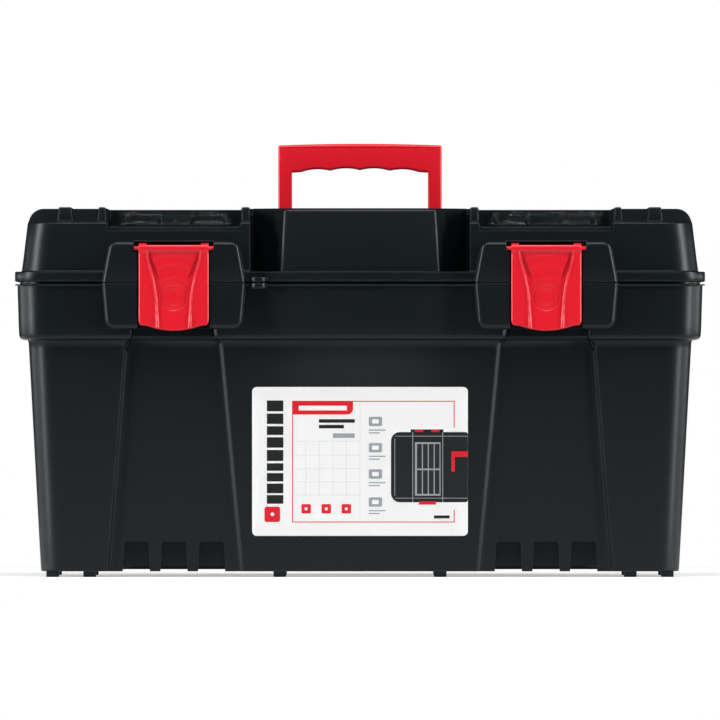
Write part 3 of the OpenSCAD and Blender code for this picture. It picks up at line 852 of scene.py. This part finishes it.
def latch_relief(u, z):
    """How far the latch's face stands forward at a point."""
    side = abs(u)
    edge = channel(z)
    height = -1.1 * ease(edge - side, -0.3, 1.6) * ease(z, 214, 244)
    height += 0.8 * line(side - edge, 1.1)
    height += 0.6 * line(side - edge - 0.2, 2.4) * ease(234 - z, 0, 14)
    slot_in = 11 + 10 * ease(z, 252, 284)
    if slot_in < side < edge - 0.6:
        height -= 1.3 * ease(z, 254, 262) * line(z - 268, 16) ** 0.5 * ease(side, slot_in, slot_in + 0.6)
    reach = math.hypot(u, z - MARK_Z)
    if side < slot_in:
        for radius in RIPPLES:
            height += 0.4 * line(reach - radius, 0.9) * ease(z, MARK_Z + 6, MARK_Z + 12)
    height -= 0.5 * line(reach - 6.5, 1.0) + 0.6 * line(reach - 11, 1.1)
    margin = min(LATCH_HALF - side, EDGE_R) / EDGE_R
    height -= EDGE_DROP * (1 - math.sqrt(max(0, 1 - (1 - margin) ** 2)))
    foot = min(max(z - latch_bottom(u), 0), EDGE_R) / EDGE_R
    return height - EDGE_DROP * (1 - math.sqrt(max(0, 1 - (1 - foot) ** 2)))


LATCH_COLUMNS = 92
LATCH_ROWS = 110


def latch(name, x):
    """A latch: a relief plate under its barrel, with side walls and a hook."""
    bm = bmesh.new()
    fronts, backs = [], []
    for i in range(LATCH_COLUMNS + 1):
        u = LATCH_HALF * (2 * i / LATCH_COLUMNS - 1)
        foot = latch_bottom(u)
        front, back = [], []
        for j in range(LATCH_ROWS + 1):
            z = foot + (LATCH_Z - foot) * (j / LATCH_ROWS)
            out = latch_relief(u, z) * (1 - ease(z, LATCH_Z - 4, LATCH_Z))
            y = LATCH_FRONT + 0.8 - out - 0.8 * ease(z, LATCH_Z - 5, LATCH_Z)
            front.append(bm.verts.new((x + u, y, z)))
            back.append(bm.verts.new((x + u, LATCH_FRONT + 3.6, z)))
        fronts.append(front)
        backs.append(back)
    for i in range(LATCH_COLUMNS):
        for j in range(LATCH_ROWS):
            bm.faces.new((fronts[i][j], fronts[i + 1][j], fronts[i + 1][j + 1], fronts[i][j + 1]))
            bm.faces.new((backs[i][j], backs[i][j + 1], backs[i + 1][j + 1], backs[i + 1][j]))
        bm.faces.new((fronts[i][0], backs[i][0], backs[i + 1][0], fronts[i + 1][0]))
        bm.faces.new((fronts[i][-1], fronts[i + 1][-1], backs[i + 1][-1], backs[i][-1]))
    for i in (0, LATCH_COLUMNS):
        for j in range(LATCH_ROWS):
            bm.faces.new((fronts[i][j], fronts[i][j + 1], backs[i][j + 1], backs[i][j]))
    piece = finish_mesh(name, bm, 50)
    barrel = rod("barrel", x - LATCH_HALF, x + LATCH_HALF, LATCH_Y, LATCH_Z, 4.4, 0.5, 48)
    combine(piece, [barrel], "UNION", 50)
    for s in (-1, 1):
        wall = block("latch_wall", sorted((x + s * LATCH_HALF, x + s * (LATCH_HALF - 2.2))),
                     (LATCH_FRONT + 1.6, LATCH_FRONT + 8), (LATCH_FOOT + 8.7, LATCH_Z), 0.5, 2)
        combine(piece, [wall], "UNION", 50)
    hook = block("hook", (x - 11, x + 11), (LATCH_FRONT + 3, LATCH_FRONT + 6.5),
                 (SPLIT - 32, SPLIT - 28.4), 0.5, 2)
    combine(piece, [hook], "UNION", 50)
    combine(piece, [block("top_step", (x - 23.5, x + 23.5), (-150, LATCH_Y + 6),
                          (LATCH_TOP - 1.6, LATCH_TOP + 4))], "DIFFERENCE", 50)
    combine(piece, [rod("bore", x - 40, x + 40, LATCH_Y, LATCH_Z, 2.05)], "DIFFERENCE", 50)
    return piece


for x, side in zip(PANEL_X, ("left", "right")):
    fit(latch("latch_" + side + "_moulding", x), "latch_" + side, red_polypropylene, "trim_red",
        "latch_" + side)


# ---- Organiser covers ----
# Clear injection-moulded polystyrene lids over the two organisers: a flat plate
# with a downturned rim, a finger tongue in front and two hinge barrels behind.

clear_polystyrene, tree = new_material("clear_polystyrene")
edge = add(tree, "ShaderNodeBevel", {"samples": 4, "Radius": 0.6 * MM})
shader = add(tree, "ShaderNodeBsdfPrincipled", {"Base Color": linear("#eef4f6"), "Roughness": 0.03,
                                                "IOR": 1.59, "Transmission Weight": 1.0, "Alpha": 0.25},
             {"Normal": edge.outputs["Normal"]})
add(tree, "ShaderNodeOutputMaterial", {}, {"Surface": shader.outputs["BSDF"]})

COVER_HALF = 49
COVER_FRONT = -106
COVER_TOP = LID_TOP - 4
COVER_LOW = LID_TOP - 14
TONGUE = ((-19, COVER_FRONT + 1.5), (-19, -110), (-16, -113.2),
          (16, -113.2), (19, -110), (19, COVER_FRONT + 1.5))
for x, side in zip(PANEL_X, ("left", "right")):
    cover = block("organiser_cover_" + side + "_moulding", (x - COVER_HALF, x + COVER_HALF),
                  (COVER_FRONT, COVER_Y - 5), (COVER_LOW, COVER_TOP), 1, 3)
    combine(cover, [block("underside", (x - COVER_HALF + 2, x + COVER_HALF - 2),
                          (COVER_FRONT + 2, COVER_Y - 7), (COVER_LOW - 4, COVER_TOP - 2.2), 0.6)])
    outline = [(x + u, y) for u, y in TONGUE]
    tongue = prism("tongue", outline, COVER_LOW, COVER_LOW + 2.2, "z", 0.5, 2)
    combine(cover, [tongue], "UNION")
    for m in (-1, 1):
        mid = x + m * 28.5
        combine(cover, [rod("barrel", mid - 11.5, mid + 11.5, COVER_Y, COVER_Z, 4, 0.4)], "UNION")
        combine(cover, [rod("stub", mid - 15.5, mid + 15.5, COVER_Y, COVER_Z, 2.5, 0.3)], "UNION")
        combine(cover, [block("link", (mid - 11.5, mid + 11.5), (COVER_Y - 6, COVER_Y),
                              (COVER_Z - 2, COVER_Z + 4), 0.4, 2)], "UNION")
    fit(cover, "cover_" + side, clear_polystyrene, "cover_clear", "organiser_cover_" + side)


# ---- Organiser inserts, dividers and tray ----
# Loose mouldings that lift out of the lid and the base, in plainer black polypropylene
# with a coarser grain. Their shapes are right already, so they only get a finish.

inner_polypropylene = moulded_polypropylene("inner_black_polypropylene", "#121517", roughness=0.4,
                                            grain=0.8, spread=0.03, gloss=0.3)
TRAY = ["tray_floor", "tray_front_wall", "tray_back_wall", "tray_end_left", "tray_end_right",
        "tray_spine", "tray_grip"]
INNER = ["organiser_insert_left", "organiser_insert_right", "organiser_dividers_left",
         "organiser_dividers_right", "tray_dividers"] + TRAY
for node in INNER:
    for place in bpy.data.objects[node].material_slots:
        place.material = inner_polypropylene


# ---- Front label ----
# A printed film label on the front wall: white film, with the inks laid over it
# as very thin layers that follow the wall.

LABEL_LOW, LABEL_HIGH = 35.7, 164.5
LABEL_HALF = 93.25
INK_THICKNESS = 0.03
NO_CORNERS = (0, 0, 0, 0)


def printed_ink(name, colour):
    """A satin printed film of one colour."""
    material, tree = new_material(name)
    shader = add(tree, "ShaderNodeBsdfPrincipled", {"Base Color": linear(colour), "Roughness": 0.45})
    add(tree, "ShaderNodeOutputMaterial", {}, {"Surface": shader.outputs["BSDF"]})
    return material


def on_wall(x, z, lift):
    """A place on the front wall, raised off it."""
    return (x, RIM_FRONT + wall_inset(z) - wall_bow(z) * bulge(x) - lift, z)


def corner_rise(x, x0, x1, left, right):
    """How much a rounded corner takes off the edge at a place along it."""
    for reach, radius in ((x - x0, left), (x1 - x, right)):
        if reach < radius:
            return radius - math.sqrt(max(radius ** 2 - (radius - reach) ** 2, 0))
    return 0


def patch(bm, x0, x1, z0, z1, lift, corners):
    """A rectangle of ink; corners are the radii bottom left, bottom right, top left, top right."""
    low_left, low_right, top_left, top_right = corners
    xs = {x0, x1}
    for radius, place, way in ((max(low_left, top_left), x0, 1),
                               (max(low_right, top_right), x1, -1)):
        for i in range(1, 6 if radius else 0):
            xs.add(place + way * radius * (1 - math.cos(math.radians(18 * i))))
    count = max(1, int((x1 - x0) / 8))
    xs |= {x0 + (x1 - x0) * i / count for i in range(count + 1)}
    xs = sorted(xs)
    xs = [x for i, x in enumerate(xs) if i == 0 or x - xs[i - 1] > 0.01]
    rows = max(1, int((z1 - z0) / 6))
    columns = []
    for x in xs:
        low = z0 + corner_rise(x, x0, x1, low_left, low_right)
        high = z1 - corner_rise(x, x0, x1, top_left, top_right)
        heights = [low + (high - low) * j / rows for j in range(rows + 1)]
        columns.append([bm.verts.new(on_wall(x, z, lift)) for z in heights])
    for a, b in zip(columns, columns[1:]):
        for j in range(rows):
            bm.faces.new((a[j], b[j], b[j + 1], a[j + 1]))


def layer(name, patches, lift, material, *nodes):
    """One colour of the print, as a very thin sheet."""
    bm = bmesh.new()
    for x0, x1, z0, z1, *corners in patches:
        patch(bm, x0, x1, z0, z1, lift, corners[0] if corners else NO_CORNERS)
    bmesh.ops.solidify(bm, geom=bm.faces[:], thickness=INK_THICKNESS)
    fit(finish_mesh(name, bm), "base", material, "label_white", *nodes)


def round_square(x0, x1, z0, z1, radius):
    """A patch with four corners alike."""
    return (x0, x1, z0, z1, (radius,) * 4)


white_film = printed_ink("white_label_film", "#ffffff")
red_ink = printed_ink("red_label_ink", "#e2182b")
dark_ink = printed_ink("dark_label_ink", "#131618")
grey_ink = printed_ink("grey_label_ink", "#ebebec")
slate_ink = printed_ink("slate_label_ink", "#23272a")
mid_ink = printed_ink("mid_grey_label_ink", "#a3a9ae")

film = [round_square(-LABEL_HALF, LABEL_HALF, LABEL_LOW, LABEL_HIGH, 4)]
layer("label_film", film, 0.3, white_film, "front_label")

GRID_X = (-46.9, -35.1, -23.2, -11.7)
GRID_Z = (117.6, 105.5, 94.1, 82.5, 71.1)
grid = [(x - 0.25, x + 0.25, 70, 117.6) for x in GRID_X] + [(-0.25, 0.25, 48, 151.8)]
grid += [(-56.5, 0, z - 0.25, z + 0.25) for z in GRID_Z]
layer("label_grid", grid, 0.34, grey_ink)

red_parts = [(-58.7, -57.9, 47.3, 152.5), (-58.3, 81.8, 151.7, 152.5), (-58.3, 81.8, 47.3, 48.1),
             (81.0, 81.8, 129.3, 152.5), (81.0, 81.8, 47.3, 58.4),
             (-58.3, -6.0, 140.7, 152.1, (0, 5, 0, 0)), round_square(-82.6, -69.1, 47.7, 61, 2)]
RED_SQUARES = (-46.6, -29.2, -11.8)
red_parts += [round_square(x - 4.1, x + 4.1, 55.1, 63.2, 1.2) for x in RED_SQUARES]
layer("label_red_ink", red_parts, 0.36, red_ink)

dark_parts = [(-35.5, -4.5, 133.6, 136.6), (-35.5, -14, 128.7, 131.7),
              (26.8, 93.2, 64.8, 125.5, (7.6, 2, 7.6, 2)),
              (43.9, 72.1, 125.5, 127.8), (63.9, 77.5, 50.8, 53.4)]
STRIPES = ((63.5, 71), (72.6, 81), (82.8, 90), (92, 98.5), (100.5, 110),
           (112, 121), (123, 130.5), (132.5, 141.5), (143.5, 152.8))
dark_parts += [(-80.5, -66.3, low, high) for low, high in STRIPES]
layer("label_dark_ink", dark_parts, 0.38, dark_ink)

SIGNS = (134.7, 112, 89.2, 65)
mid_parts = [(-23.5, -4.7, 120.5, 124.3)]
for z in SIGNS:
    mid_parts += [round_square(7.6, 19, z - 4, z + 4, 1.2), (7.6, 22, z - 8, z - 7),
                  (7.6, 17, z - 10.4, z - 9.4)]
mid_parts += [(47.5, 69.6, 70.5, 116.7)]
layer("label_grey_ink", mid_parts, 0.40, mid_ink)

white_parts = [(-52.9, -11.4, 144.2, 148.3), round_square(-77.3, -74.3, 52.9, 55.9, 1.4)]
white_parts += [round_square(x - 1.3, x + 1.3, 57.8, 60.4, 1.2) for x in RED_SQUARES]
white_parts += [round_square(10.4, 16.2, z - 1.8, z + 1.8, 0.8) for z in SIGNS]
layer("label_white_marks", white_parts, 0.42, white_film)

pockets = [(49.3 + 5.1 * i, 53.5 + 5.1 * i, low, high)
           for i in range(4) for low, high in ((72, 92.6), (94, 115.2))]
layer("label_pockets", pockets, 0.44, slate_ink)
pale_lines = [(30.3, 93.2, 68.1, 68.6), (30.3, 93.2, 121.7, 122.2), (29.8, 30.3, 70.5, 119.8),
              (45.3, 45.9, 64.8, 125.5), (71.2, 71.8, 64.8, 125.5)]
layer("label_pale_lines", pale_lines, 0.46, mid_ink)
details = [(50.9, 65.8, 62.8, 65.6), (47.6, 54.6, 125.6, 127.7), (61.6, 68.6, 125.6, 127.7),
           (79.1, 93.1, 104, 108.8), (79.1, 82, 91.3, 108.8)]
layer("label_red_details", details, 0.48, red_ink)


# ---- Floor and lights ----
# A pale round floor, and a surround that looks white but gives little light. Two tall
# softboxes at the sides pick out the upright corners, two low ones light the ends, and a
# wide one hangs overhead in front.

scene = bpy.context.scene
scene.view_settings.view_transform = "Standard"

FLOOR_R = 0.95
SURROUND_LIGHT = 0.03
white_floor, tree = new_material("white_studio_floor")
shader = add(tree, "ShaderNodeBsdfPrincipled", {"Base Color": (0.5, 0.5, 0.5, 1), "Roughness": 0.7,
                                                "Emission Color": (1, 1, 1, 1), "Emission Strength": 0.45})
add(tree, "ShaderNodeOutputMaterial", {}, {"Surface": shader.outputs["BSDF"]})
floor_mesh = bpy.data.meshes.new("floor")
bm = bmesh.new()
bmesh.ops.create_circle(bm, cap_ends=True, segments=96, radius=FLOOR_R)
bm.to_mesh(floor_mesh)
bm.free()
floor = bpy.data.objects.new("floor", floor_mesh)
floor_mesh.materials.append(white_floor)
scene.collection.objects.link(floor)

world = bpy.data.worlds.new("studio")
scene.world = world
world.use_nodes = True
tree = world.node_tree
seen = add(tree, "ShaderNodeLightPath")
surround = add(tree, "ShaderNodeMix",
               {"data_type": "RGBA", "A": (SURROUND_LIGHT,) * 3 + (1,), "B": (1, 1, 1, 1)},
               {"Factor": seen.outputs["Is Camera Ray"]})
tree.links.new(surround.outputs["Result"], tree.nodes["Background"].inputs["Color"])


def softbox(name, place, width, height, watts):
    """A rectangular light at a place, in metres, that faces the box."""
    light = bpy.data.lights.new(name, "AREA")
    light.shape = "RECTANGLE"
    light.size, light.size_y = width, height
    light.energy = watts
    box = bpy.data.objects.new(name, light)
    box.location = place
    box.rotation_euler = (AIM - Vector(place)).to_track_quat("-Z", "Y").to_euler()
    scene.collection.objects.link(box)


AIM = Vector((0, 0, 0.2))
softbox("left_softbox", (-2.2, -0.85, 0.9), 0.5, 2.2, 84)
softbox("right_softbox", (2.2, -0.85, 0.9), 0.5, 2.2, 84)
softbox("left_side_softbox", (-2.3, 0.45, 0.26), 1.7, 0.5, 13)
softbox("right_side_softbox", (2.3, 0.45, 0.26), 1.7, 0.5, 13)
softbox("overhead_softbox", (0, -1.2, 2.3), 2.0, 0.9, 66)
